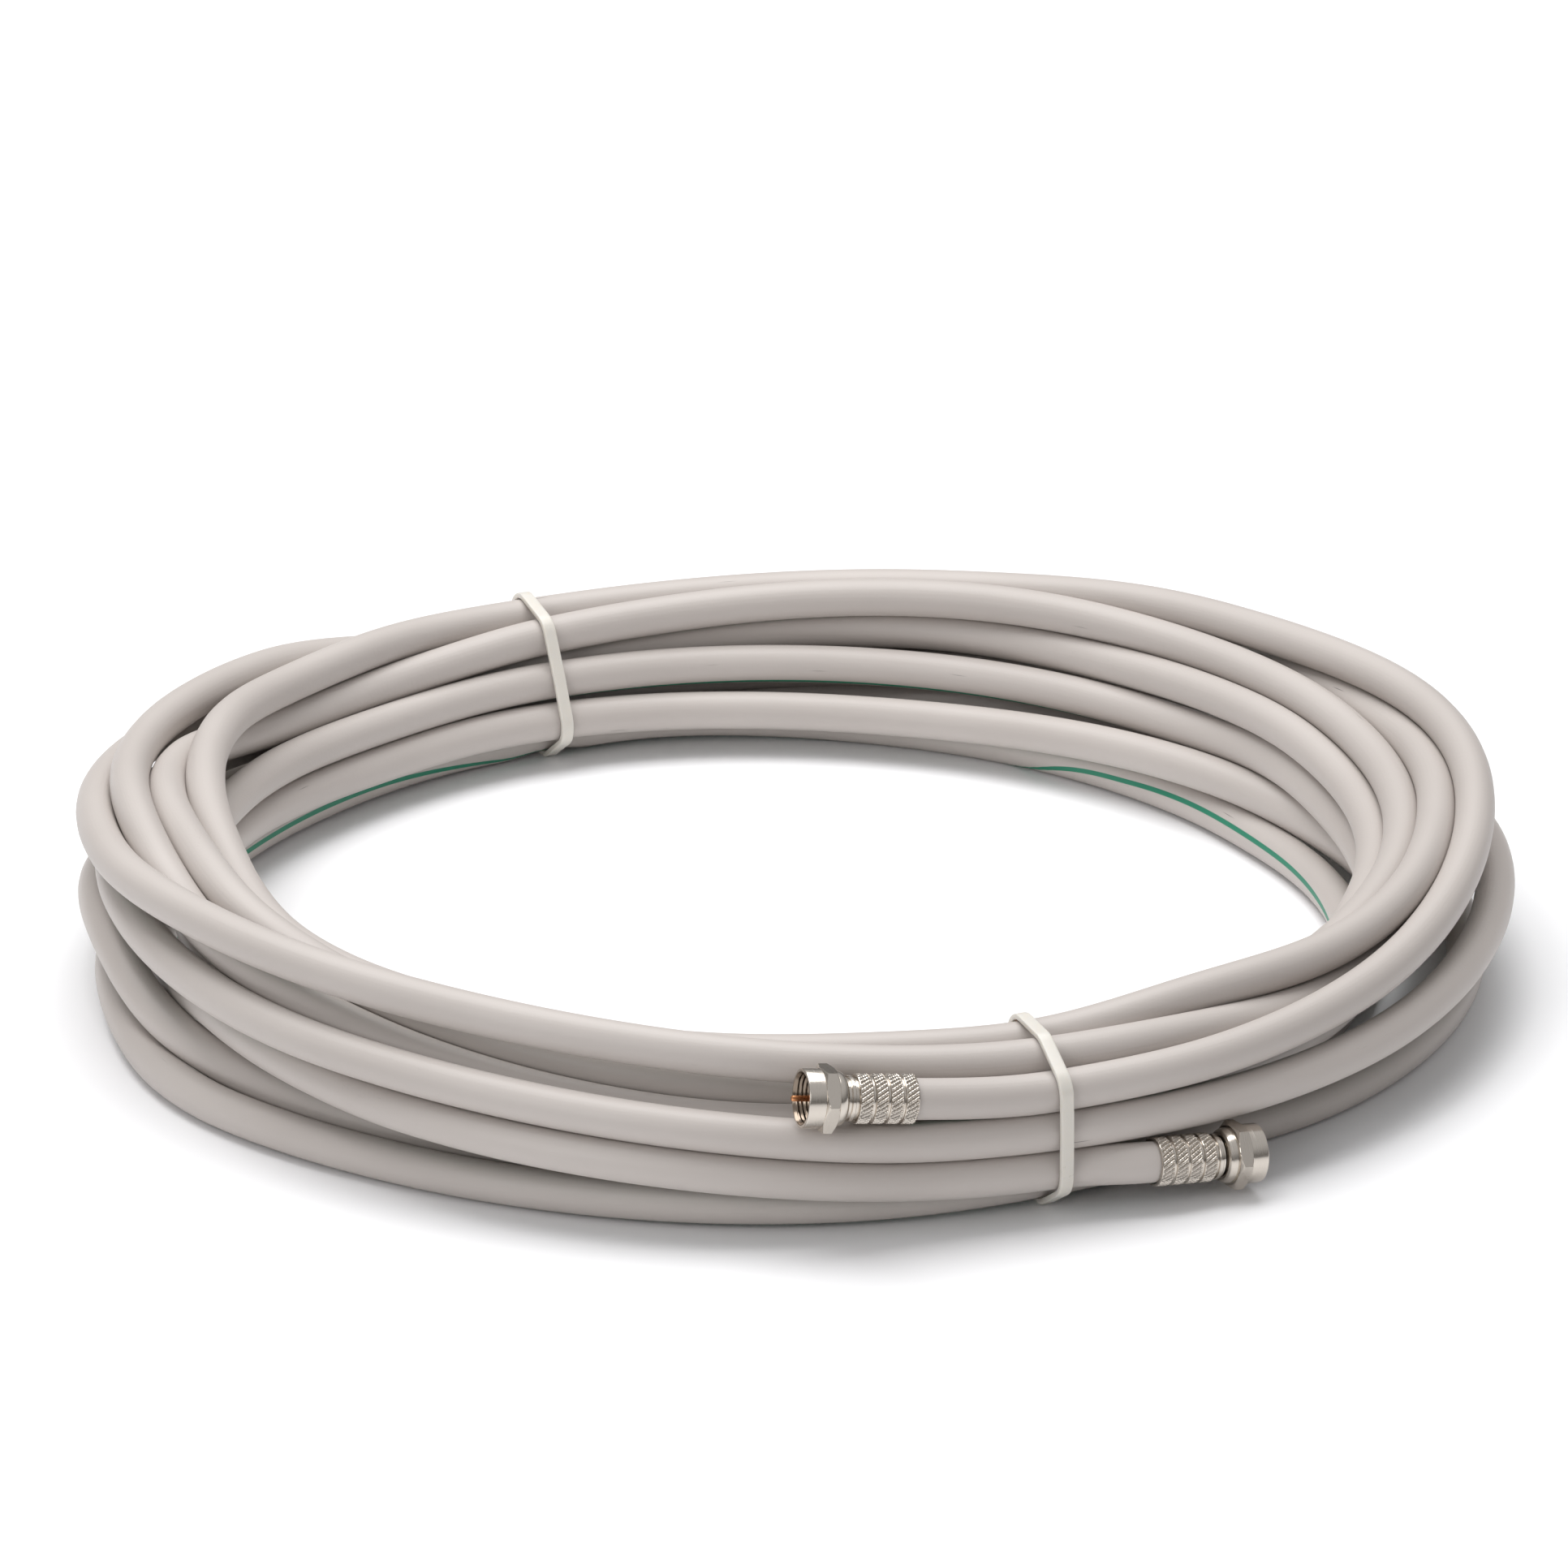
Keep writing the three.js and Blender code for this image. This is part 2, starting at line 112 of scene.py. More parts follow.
# For turns 1 to 10: how far each strand's centre lies outside the coil's radius and above the ground,
# in cable diameters.
sections = np.array([
    [[0.8, 3.21], [-1.13, 3.68], [-0.13, 3.66], [-0.19, 2.66], [-1.19, 2.68],
     [0.81, 2.22], [0.01, ON_TIE], [-0.19, 1.68], [-1.19, 1.69], [-0.99, ON_TIE]],
    [[0.93, 3.31], [-0.75, 4.03], [0.11, 3.51], [-0.85, 3.04], [-1.53, 2.43],
     [1.2, 2.19], [-0.29, 0.5], [-0.4, 2], [-1.2, 1.49], [-1.29, 0.5]],
    [[1.2, 3.57], [0.04, 4.17], [0.2, 3.2], [-0.73, 3.47], [-1.27, 2.6],
     [1.6, 2.27], [0.37, 0.5], [-0.56, 1.87], [-1.44, 1.51], [-1.4, 0.5]],
    [[1.33, 4.8], [0.44, 4.45], [1.15, 3.76], [-0.4, 3.93], [-1.07, 3.2],
     [1.92, 2.67], [1.27, 0.53], [-1.03, 2.11], [-0.4, 1.24], [-1.53, 0.5]],
    [[0.88, 4.59], [1, 3.47], [1.93, 3.6], [0.13, 3.92], [-0.6, 3.24],
     [1.47, 1.84], [0.93, 0.6], [-0.93, 2.2], [-1.69, 1.45], [-1.44, 0.5]],
    [[1.28, 3.85], [1.37, 2.56], [2.04, 3.28], [0.33, 3.92], [0.44, 2.97],
     [0.83, 1.76], [0.77, 0.72], [-0.6, 2.2], [-1.56, 1.19], [-0.73, 0.51]],
    [[1.23, 3.47], [1.67, 1.59], [1.73, 2.56], [0.27, 3.23], [0.73, 2.35],
     [0.61, 1.41], [1.2, ON_TIE], [-0.35, 2.24], [-0.8, 1.25], [0.08, ON_TIE]],
    [[0.47, 3.93], [1.87, 3], [1.4, 4.07], [0.27, 2.89], [1.15, 2.33],
     [0.87, 1.27], [1.77, 1.13], [-0.36, 2.28], [-0.59, 1.43], [0.03, 0.56]],
    [[-0.47, 4.67], [1.93, 3.93], [1.27, 4.64], [0.31, 4.13], [1.07, 3.23],
     [1.13, 0.87], [1.91, 1.73], [-0.6, 2.67], [-0.43, 1.63], [0.27, 0.67]],
    [[-1.04, 4.61], [1.77, 4.67], [0.87, 5.04], [-0.11, 4.87], [1.47, 3.53],
     [1.55, 0.67], [1.76, 2.33], [-0.67, 3.13], [-0.53, 1.87], [0.51, 1.13]],
    [[-1.13, 3.81], [1.13, 4.87], [0.64, 4], [-0.27, 4.47], [1.4, 3.33],
     [1.6, 0.56], [0.8, 1.09], [-0.8, 2.93], [-0.67, 1.6], [0.8, 2.17]],
    [[-1.69, 3.6], [0.2, 4.63], [0.12, 3.12], [-0.71, 3.67], [1.07, 3.13],
     [0.8, 0.52], [-0.09, 1.07], [-1.13, 2.47], [-1.13, 0.96], [1.13, 2.09]],
])
LAST_STRAND = [0.82, 1.24]
TURNS = sections.shape[1]
print("sections:", sections.shape[0], "turns:", TURNS)

# %% Join the sections into one curve


def cubic_through(at, x, y, slope):
    """Value at each point of `at` on the cubic curve through (x, y) with the given slopes: with t the
    share of a span, (1+2t)(1-t)^2 y0 + t(1-t)^2 s0 + t^2(3-2t) y1 + t^2(t-1) s1."""
    i = np.clip(np.searchsorted(x, at, side="right") - 1, 0, len(x) - 2)
    span = x[i + 1] - x[i]
    t = ((at - x[i]) / span)[:, None]
    return (
        (1 + 2 * t) * (1 - t) ** 2 * y[i]
        + t * (1 - t) ** 2 * span[:, None] * slope[i]
        + t * t * (3 - 2 * t) * y[i + 1]
        + t * t * (t - 1) * span[:, None] * slope[i + 1]
    )


turn_starts = 360.0 * np.arange(TURNS)
station_angles = (turn_starts[:, None] + azimuths).ravel()
station_angles = np.append(station_angles, FRONT_TIE + 360.0 * TURNS)
station_points = np.swapaxes(sections, 0, 1).reshape(-1, 2)
station_points = np.vstack([station_points, LAST_STRAND])
station_slopes = np.gradient(station_points, station_angles, axis=0)

STEPS_PER_TURN = 300
angles = FRONT_TIE + 360.0 / STEPS_PER_TURN * np.arange(TURNS * STEPS_PER_TURN + 1)
winding = cubic_through(angles, station_angles, station_points, station_slopes) * CABLE_MM
winding[:, 0] += COIL_RADIUS_MM
print("points on the winding:", len(winding))

# %% [markdown]
# ## Room for every strand
#
# The sections leave a few places where two strands would run through each other. The real
# ones push each other aside, and so do these: wherever two strands of the same section are closer
# than a diameter, each moves away by half of what is missing, the push is spread along the cable as
# a stiff jacket would spread it. The ground holds the lowest ones up, and the straps of the ties lift
# them a little more. A few hundred such rounds take a second with whole arrays, and give the same
# result every time.

# %% Push the strands apart


def spread_along(values, reach):
    """Each value becomes the mean of its neighbours, weighted by exp(-(steps / reach)^2 / 2)."""
    half = 3 * reach
    weights = np.exp(-0.5 * (np.arange(-half, half + 1) / reach) ** 2)
    padded = np.pad(values, ((half, half), (0, 0)), mode="edge")
    columns = [np.convolve(column, weights / weights.sum(), "valid") for column in padded.T]
    return np.stack(columns, axis=-1)


def side_by_side(points):
    """Vectors and distances between all the strands that share a section."""
    strands = points[:-1].reshape(TURNS, STEPS_PER_TURN, 2)
    apart = strands[:, None] - strands[None]
    distance = np.linalg.norm(apart, axis=-1)
    distance[np.arange(TURNS), np.arange(TURNS)] = np.inf
    return apart, distance


ROUNDS = 400
WANTED_MM = 7.45
PUSH_REACH = 5
LIFT_REACH_DEGREES = 4.0

from_front = (angles - FRONT_TIE) % 360
from_tie = np.minimum(
    np.minimum(from_front, 360 - from_front), np.abs(from_front - BACK_TIE + FRONT_TIE)
)
lift = (TIE_THICK_MM + GAP_MM) * np.exp(-((from_tie / LIFT_REACH_DEGREES) ** 2))

print("closest strands before, mm:", round(float(side_by_side(winding)[1].min()), 2))
for _ in range(ROUNDS):
    apart, distance = side_by_side(winding)
    missing = np.clip(WANTED_MM - distance, 0, None)
    push = (0.5 * missing / distance)[..., None] * apart
    push = push.sum(axis=1).reshape(-1, 2)
    push = np.vstack([push, push[-1:]])
    winding += 0.9 * spread_along(push, PUSH_REACH)
    winding[:, 1] = np.maximum(winding[:, 1], CABLE_MM / 2 + lift)
print("closest strands after, mm:", round(float(side_by_side(winding)[1].min()), 2))

# %% [markdown]
# ## The two free ends
#
# Each end leaves the bundle at the front tie and runs a few centimetres to its connector. One cubic
# span does for each: it starts along the winding and arrives along the axis of the sleeve. The cable
# goes a few millimetres into the sleeve, as the real one does.

# %% Ends and connectors' places


def on_coil(azimuth, distance, height):
    """Point in mm at an azimuth in degrees, a distance from the coil's axis and a height."""
    a = np.radians(azimuth)
    x = distance * np.cos(a) + CENTRE_MM[0]
    y = distance * np.sin(a) + CENTRE_MM[1]
    return np.stack([x, y, np.broadcast_to(height, np.shape(x))], axis=-1)


def unit(v):
    return v / np.linalg.norm(v, axis=-1, keepdims=True)


def direction_on_coil(azimuth, outward, anticlockwise, rise):
    """Unit vector with these parts at an azimuth in degrees."""
    a = np.radians(azimuth)
    out = np.array([np.cos(a), np.sin(a), 0.0])
    round_about = np.array([-np.sin(a), np.cos(a), 0.0])
    return unit(outward * out + anticlockwise * round_about + rise * np.array([0, 0, 1.0]))


SLEEVE_ENDS_MM = {
    "a": on_coil(-80.5, COIL_RADIUS_MM + 0.98 * CABLE_MM, 3.52 * CABLE_MM),
    "b": on_coil(-60.25, COIL_RADIUS_MM + 1.42 * CABLE_MM, 1.17 * CABLE_MM),
}
TOWARDS_MOUTH = {
    "a": direction_on_coil(-80.5, 0.115, -0.985, 0.127),
    "b": direction_on_coil(-60.25, 0.111, 0.99, -0.09),
}
HEX_ROLL = {"a": 10.0, "b": 25.0}
INSIDE_SLEEVE_MM = 3.0


def free_end(start, start_way, letter):
    """Points in mm from the winding into a sleeve, on a cubic that leaves along start_way."""
    finish = SLEEVE_ENDS_MM[letter]
    way_in = TOWARDS_MOUTH[letter]
    reach = np.linalg.norm(finish - start)
    slopes = np.array([start_way, way_in]) * reach
    t = np.linspace(0, 1, int(reach / 2.4))
    span = cubic_through(t, np.array([0.0, 1.0]), np.array([start, finish]), slopes)
    inside = finish + way_in * np.linspace(1.0, INSIDE_SLEEVE_MM, 3)[:, None]
    return np.vstack([span[1:], inside])


winding_line = on_coil(angles, winding[:, 0], winding[:, 1])
end_a = free_end(winding_line[0], unit(winding_line[0] - winding_line[1]), "a")
end_b = free_end(winding_line[-1], unit(winding_line[-1] - winding_line[-2]), "b")
route = np.vstack([end_a[::-1], winding_line, end_b]) * MM

steps = np.linalg.norm(np.diff(route, axis=0), axis=1)
along = np.concatenate([[0.0], np.cumsum(steps)])
cable_length = float(along[-1])
print("cable:", round(cable_length, 3), "m on", len(route), "points")

# %% [markdown]
# ## Meshes from grids
#
# Every piece here is a skin over a grid of points: columns run round it and rows follow each other
# along it. One helper turns such a grid into a mesh. Each face joins two neighbours of a row with two
# of the next, the columns close on themselves, and the ends get a cap or meet each other. The grid
# also gives the UV map for nothing: u counts the columns and v is a length along the rows.

# %% From grids to meshes


def grid_faces(rows, columns, closed):
    """Corner numbers and (row, column) of each corner for a grid whose columns wrap round."""
    next_rows = rows if closed else rows - 1
    i, j = np.meshgrid(np.arange(next_rows), np.arange(columns), indexing="ij")
    row = np.stack([i, i + 1, i + 1, i], axis=-1).reshape(-1, 4)
    column = np.stack([j, j, j + 1, j + 1], axis=-1).reshape(-1, 4)
    return (row % rows) * columns + column % columns, row, column


def new_piece(name, grids, sharp=None):
    """One mesh piece from (points, v, closed) grids, with points (rows, columns, 3) in metres and v a
    length per row. Open grids are capped with a fan about the middle of their end rows."""
    points, faces, uvs, start = [], [], [], 0
    for grid, v, closed in grids:
        rows, columns = grid.shape[:2]
        corners, row, column = grid_faces(rows, columns, closed)
        v_ext = np.append(v, 2 * v[-1] - v[-2])
        points.append(grid.reshape(-1, 3))
        faces.extend((corners + start).tolist())
        uvs.append(np.stack([column / columns, v_ext[row]], axis=-1).reshape(-1, 2))
        if not closed:
            points.append(np.stack([grid[0].mean(axis=0), grid[-1].mean(axis=0)]))
            ring = np.arange(columns)
            for k, first in enumerate((0, (rows - 1) * columns)):
                middle = np.full(columns, rows * columns + k)
                a, b = first + ring, first + (ring + 1) % columns
                fan = np.stack([middle, a, b] if k == 0 else [middle, b, a], axis=-1)
                faces.extend((fan + start).tolist())
                uvs.append(np.tile([[0.0, v[0] if k == 0 else v[-1]]], (3 * columns, 1)))
        start = sum(len(p) for p in points)
    mesh = bpy.data.meshes.new(name)
    mesh.from_pydata(np.vstack(points).tolist(), [], faces)
    layer = mesh.uv_layers.new(name="skin")
    layer.data.foreach_set("uv", np.vstack(uvs).astype(np.float32).ravel())
    mesh.polygons.foreach_set("use_smooth", np.ones(len(faces), dtype=bool))
    if sharp is not None:
        mesh.set_sharp_from_angle(angle=np.radians(sharp))
    mesh.validate()
    made = bpy.data.objects.new(name, mesh)
    scene.collection.objects.link(made)
    low, high = np.vstack(points).min(axis=0), np.vstack(points).max(axis=0)
    print(name, "faces:", len(faces), "size mm:", np.round((high - low) / MM, 1).tolist())
    return made


# %% [markdown]
# ## The cable
#
# The jacket is round and the same all along, so the cable is a circle carried along the route. At
# each point the circle stands square to the route, turned so that its zero faces away from the coil's
# axis. The jacket carries one thin green stripe. On the real cable the stripe winds slowly round as
# the cable rolls in the hand, and shows on the inner side of the coil at the back and on the right.
# So the circle also gets a roll of its own along the route, and the stripe is a line of the UV map.

# %% Where the stripe faces
STRIPE_FACING = np.array([
    # turn angle in degrees, direction the stripe faces: 0 outward, 90 up, 180 inward, 270 down
    [-68, 270], [0, 270], [90, 300], [180, 272], [360, 270], [450, 345], [540, 274], [720, 268],
    [990, 258], [1170, 280], [1350, 215], [1440, 268], [1530, 310], [1620, 272], [1800, 276],
    [1890, 355], [1980, 276], [2160, 268], [2340, 262], [2520, 262], [2560, 262], [2590, 233],
    [2615, 230], [2630, 240], [2650, 262], [2800, 268], [3150, 262], [3220, 240], [3250, 175],
    [3265, 163], [3290, 166], [3300, 192], [3308, 268], [3330, 275], [3350, 268], [3362, 215],
    [3372, 187], [3395, 176], [3415, 174], [3440, 225], [3480, 262], [3532, 275],
])
turn_angle = np.concatenate([
    np.full(len(end_a), angles[0]), angles, np.full(len(end_b), angles[-1])
])
facing_slopes = np.gradient(STRIPE_FACING[:, 1], STRIPE_FACING[:, 0])[:, None]
roll = np.radians(
    cubic_through(turn_angle, STRIPE_FACING[:, 0], STRIPE_FACING[:, 1:], facing_slopes)[:, 0]
)
print("stripe turns between", np.degrees(roll.min()).round(), "and", np.degrees(roll.max()).round())

# %% Carry a circle along the route
CABLE_SIDES = 24
STRIPE_U = 0.5


def tube(line, radius, turned):
    """Circle points c + r (cos(w) outward + sin(w) rise) at each point c of a line, with outward
    square to the line and level, rise square to both, and w counted from the turned angle."""
    forward = unit(np.gradient(line, axis=0))
    outward = unit(np.cross(forward, [0.0, 0.0, 1.0]))
    rise = np.cross(outward, forward)
    w = 2 * np.pi * (np.arange(CABLE_SIDES) / CABLE_SIDES - STRIPE_U)
    w = w[None, :] + turned[:, None]
    return (
        line[:, None]
        + radius * np.cos(w)[..., None] * outward[:, None]
        + radius * np.sin(w)[..., None] * rise[:, None]
    )


cable = new_piece("cable", [(tube(route, CABLE_MM / 2 * MM, roll), along, False)])
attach(cable, "coil")
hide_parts("cable_coil", "cable_tail_a", "cable_tail_b")

# %% [markdown]
# ## Cable ties
#
# A tie is a flat nylon strap drawn tight round the bundle. It touches the outermost strands and runs
# straight from one to the next. That shape has a simple rule: look from every direction, take the
# strand that reaches farthest that way, and go out from its centre by the cable's radius and the
# strap's. Then a rectangle with rounded corners is carried round that loop. The locking head is a
# moulded block with a slot, and the end of the strap, cut short, stands in the slot.

# %% Loop of a tie
TIE_WIDE_MM = 2.5
HEAD_WIDE_MM = 4.4
HEAD_LONG_MM = 5.2
HEAD_HIGH_MM = 3.4


def strands_in_tie(azimuth):
    """Centres of the strands at a tie, as (distance from the axis, height) in mm."""
    first = int(round((azimuth - FRONT_TIE) * STEPS_PER_TURN / 360))
    return winding[first::STEPS_PER_TURN]


def rounded_box_loop(wide, high, corners=28, power=6.0):
    """Points of the loop |x / a|^p + |y / b|^p = 1, with half sizes a and b."""
    w = 2 * np.pi * np.arange(corners) / corners
    c, s = np.cos(w), np.sin(w)
    x = wide / 2 * np.sign(c) * np.abs(c) ** (2 / power)
    y = high / 2 * np.sign(s) * np.abs(s) ** (2 / power)
    return np.stack([x, y], axis=-1)


def strap_line(strands, distance, count=240):
    """Even points of the loop that is farthest strand + distance * direction, and its directions."""
    w = np.linspace(0, 2 * np.pi, 1441)
    way = np.stack([np.cos(w), np.sin(w)], axis=-1)
    farthest = strands[np.argmax(strands @ way.T, axis=0)]
    loop = farthest + distance * way
    length = np.concatenate([[0], np.cumsum(np.linalg.norm(np.diff(loop, axis=0), axis=1))])
    even = np.linspace(0, length[-1], count, endpoint=False)
    line = np.stack([np.interp(even, length, loop[:, k]) for k in (0, 1)], axis=-1)
    facing = np.interp(even, length, w)
    return line, np.stack([np.cos(facing), np.sin(facing)], axis=-1), even


def stand_up(flat, sideways, azimuth):
    """Points in metres from (distance, height) in mm in the plane of an azimuth, moved sideways."""
    a = np.radians(azimuth)
    points = on_coil(azimuth, flat[..., 0], flat[..., 1])
    across = np.array([-np.sin(a), np.cos(a), 0.0])
    return (points + sideways[..., None] * across) * MM


# %% Make the ties


def strap_grid(strands, azimuth):
    """The strap: a rounded rectangle carried round the loop, square to it."""
    middle = (CABLE_MM + TIE_THICK_MM) / 2 + GAP_MM
    line, way, even = strap_line(strands, middle)
    section = rounded_box_loop(TIE_WIDE_MM, TIE_THICK_MM)
    flat = line[:, None] + section[None, :, 1:] * way[:, None]
    sideways = np.broadcast_to(section[:, 0], flat.shape[:2])
    return stand_up(flat, sideways, azimuth), even * MM, True


def head_grids(strands, azimuth, inside):
    """The head: rounded rectangles stacked away from the strap, whose rims turn into the slot, and
    the cut end of the strap that stands in it."""
    sign = -1.0 if inside else 1.0
    reach = sign * strands[:, 0]
    beside = reach > reach.max() - CABLE_MM / 4
    foot = sign * reach.max() + sign * (CABLE_MM / 2 + GAP_MM + TIE_THICK_MM / 2)
    height = strands[beside, 1].mean()
    top = HEAD_HIGH_MM
    stack = np.array([
        # height above the foot, share of the head's size, share of the slot's size
        [0.0, 0.94, 0], [0.12, 0.98, 0], [0.35, 1.0, 0], [0.5 * top, 1.0, 0], [top - 0.45, 0.985, 0],
        [top - 0.15, 0.95, 0], [top, 0.88, 0], [top, 0.8, 0], [top, 0, 1.08], [top - 0.12, 0, 1.0],
        [top - 1.2, 0, 0.96], [top - 1.9, 0, 0.9],
    ])
    outer = rounded_box_loop(HEAD_LONG_MM, HEAD_WIDE_MM)
    slot = rounded_box_loop(1.9, 3.1)
    loops = stack[:, 1, None, None] * outer + stack[:, 2, None, None] * slot
    out = foot + sign * np.broadcast_to(stack[:, :1], loops.shape[:2])
    head = stand_up(np.stack([out, height + loops[..., 0]], -1), loops[..., 1], azimuth)
    stub_at = np.array([[top - 1.8, 1.0], [top + 0.25, 1.0], [top + 0.42, 0.93], [top + 0.45, 0.8]])
    stub_loop = rounded_box_loop(TIE_THICK_MM, TIE_WIDE_MM)
    loops = stub_at[:, 1, None, None] * stub_loop
    out = foot + sign * np.broadcast_to(stub_at[:, :1], loops.shape[:2])
    stub = stand_up(np.stack([out, height + 0.1 + loops[..., 0]], -1), loops[..., 1], azimuth)
    return [(head, stack[:, 0] * MM, False), (stub, stub_at[:, 0] * MM, False)]


ties = {}
for place, azimuth, inside in (("front", FRONT_TIE, True), ("back", BACK_TIE, False)):
    strands = strands_in_tie(azimuth)
    grids = [strap_grid(strands, azimuth)] + head_grids(strands, azimuth, inside)
    ties[place] = new_piece(f"tie_{place}", grids, sharp=40)
    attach(ties[place], "coil")
    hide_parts(f"cable_tie_{place}")

# %% [markdown]
# ## Connectors
#
# An F connector is turned from brass bar and nickel plated. Everything on it is round about one axis
# apart from the hexagon, the thread and the knurling, and those three are small changes of radius
# round that axis. So each part is a profile of radii along the axis, turned into a grid, where some
# rows let the radius change with the angle as well. That keeps real edges and real grooves, which
# catch the light in a way that a bump in the material can't.

# %% Helper for turned parts
COLLAR_R, COLLAR_LONG = 5.4, 3.2
HEX_FLATS, HEX_LONG, HEX_BEVEL = 11.1, 2.6, 0.5
SHOULDER_R, SHOULDER_REAR_R, SHOULDER_LONG = 5.05, 4.3, 1.7
THREAD_R, THREAD_DEEP, THREAD_PITCH = 4.45, 0.26, 0.794
CAPTURE_LONG = 1.9
HEX_START = COLLAR_LONG
HEX_END = COLLAR_LONG + HEX_LONG
NUT_LONG = HEX_END + SHOULDER_LONG
CAPTURE_START = NUT_LONG - CAPTURE_LONG
BORE_R = 2.6
POST_R = 3.1
FLANGE_R, FLANGE_LONG = THREAD_R - GAP_MM, 0.5
FLANGE_END = CAPTURE_START - GAP_MM
NECK_R, NECK_START, NECK_LONG = 3.8, NUT_LONG + GAP_MM, 1.95
RING_R, RING_LONG = 4.15, 0.7
SLEEVE_START = NECK_START + NECK_LONG
SLEEVE_R, SLEEVE_LONG = 4.5, 11.1
CONNECTOR_LONG = SLEEVE_START + SLEEVE_LONG


def wave(x):
    """Triangle wave of period 1, from 0 up to 1 and back."""
    return 1 - np.abs(2 * (x - np.floor(x)) - 1)


def turned_grid(z, radius, around, letter):
    """Points in metres at radius (rows, columns) and angles around, z mm behind a connector's mouth."""
    into = Vector(-TOWARDS_MOUTH[letter])
    spin = np.array(Vector((0, 0, 1)).rotation_difference(into).to_matrix())
    mouth = SLEEVE_ENDS_MM[letter] + TOWARDS_MOUTH[letter] * CONNECTOR_LONG
    flat = np.stack([
        radius * np.cos(around), radius * np.sin(around), np.broadcast_to(z[:, None], radius.shape)
    ], axis=-1)
    return (flat @ spin.T + mouth) * MM


def ramp(start, end, count):
    """Even steps from start to end, both ends included."""
    return np.linspace(start, end, count)


# %% The coupling nut
NUT_COLUMNS = 144


def nut_profile(around, roll_angle):
    """Rows of (z, radius): collar, hexagon min(a / cos(w), bevel cone), shoulder, rear wall, and the
    bore with a thread of radius r + depth * wave(z / pitch + w / 2 pi)."""
    w = around - roll_angle
    flat_r = HEX_FLATS / 2
    hexagon = flat_r / np.cos((w % (np.pi / 3)) - np.pi / 6)
    corner_r = HEX_FLATS / np.sqrt(3)
    rows = []

    def plain(zs, rs):
        for z, r in zip(np.atleast_1d(zs), np.atleast_1d(rs)):
            rows.append((z, np.full(len(around), float(r))))

    turn = ramp(0, np.pi / 2, 5)
    edge = 0.22
    plain(ramp(0.0, 0.0, 2), [THREAD_R + 0.38, COLLAR_R - edge - 0.02])
    plain(edge - edge * np.cos(turn), COLLAR_R - edge + edge * np.sin(turn))
    plain([HEX_START - 0.02], [COLLAR_R])
    for z in np.concatenate([
        HEX_START + ramp(0, HEX_BEVEL, 9), [HEX_START + HEX_LONG / 2], HEX_END - ramp(HEX_BEVEL, 0, 9)
    ]):
        inset = min(z - HEX_START, HEX_END - z)
        cone = flat_r - 0.05 + (corner_r - flat_r + 0.05) * min(inset / HEX_BEVEL, 1.0)
        rows.append((z, np.minimum(hexagon, cone)))
    swell = ramp(0, 1, 8)
    shoulder = SHOULDER_REAR_R + (SHOULDER_R - SHOULDER_REAR_R) * np.sqrt(1 - swell**2.4)
    plain(HEX_END + 0.02 + (SHOULDER_LONG - 0.02) * swell, shoulder)
    plain([NUT_LONG, NUT_LONG - 0.15, CAPTURE_START], [POST_R + 0.45, POST_R + GAP_MM, POST_R + GAP_MM])
    plain([CAPTURE_START], [THREAD_R])
    for z in ramp(CAPTURE_START - 0.1, 0.45, 56):
        fade = min(1.0, (CAPTURE_START - z) / 0.6)
        thread = THREAD_R + fade * THREAD_DEEP * wave(z / THREAD_PITCH + w / (2 * np.pi))
        rows.append((z, thread))
    plain([0.12], [THREAD_R + 0.3])
    return np.array([z for z, _ in rows]), np.stack([r for _, r in rows])


nuts = {}
for letter, roll_degrees in HEX_ROLL.items():
    around = 2 * np.pi * np.arange(NUT_COLUMNS) / NUT_COLUMNS + np.radians(30 + roll_degrees)
    z, radius = nut_profile(around, np.radians(30 + roll_degrees))
    length_along = np.concatenate([[0], np.cumsum(np.hypot(np.diff(z), np.diff(radius[:, 0])))])
    to_rear_wall = length_along[np.argmax(z)] - length_along
    grid = turned_grid(z, radius, around, letter)
    nuts[letter] = new_piece(f"nut_{letter}", [(grid, to_rear_wall * MM, True)], sharp=28)
    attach(nuts[letter], f"nut_{letter}")
    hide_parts(f"coupling_nut_{letter}")

# %% The body with its knurled sleeve
BANDS = 4
GROOVE_WIDE, GROOVE_DEEP = 0.35, 0.3
KNURLS_ROUND = 30
KNURL_PITCH = 1.4
KNURL_DEEP = 0.36
BODY_COLUMNS = 240
SLEEVE_ROWS = 112
CABLE_HOLE_R = 3.9


def knurled(z, around):
    """Sleeve radius: slanted ribs wave(a + b), with a round the sleeve and b along it, notched by a
    weaker cross cut 0.35 + wave(a - 2 b), cut flat at the top, smooth at the rims of each band and
    dropped in the grooves between bands."""
    z = z[:, None]
    a = KNURLS_ROUND * around[None, :] / (2 * np.pi)
    b = z / KNURL_PITCH
    tops = np.clip(1.6 * np.minimum(wave(a + b), 0.35 + wave(a - 2 * b)), 0, 1)
    band = SLEEVE_LONG / BANDS
    to_groove = np.abs((z + band / 2) % band - band / 2)
    to_groove = np.where((z < band / 2) | (z > SLEEVE_LONG - band / 2), np.inf, to_groove)
    to_groove = np.minimum(to_groove, np.minimum(z, SLEEVE_LONG - z) + GROOVE_WIDE / 2)
    cut = np.clip((to_groove - GROOVE_WIDE / 2) / 0.12, 0, 1)
    rim = np.clip((to_groove - GROOVE_WIDE / 2 - 0.2) / 0.08, 0, 1)
    body = SLEEVE_R - KNURL_DEEP * rim * (1 - tops) - 0.04 * (1 - rim)
    return body - GROOVE_DEEP * (1 - cut)


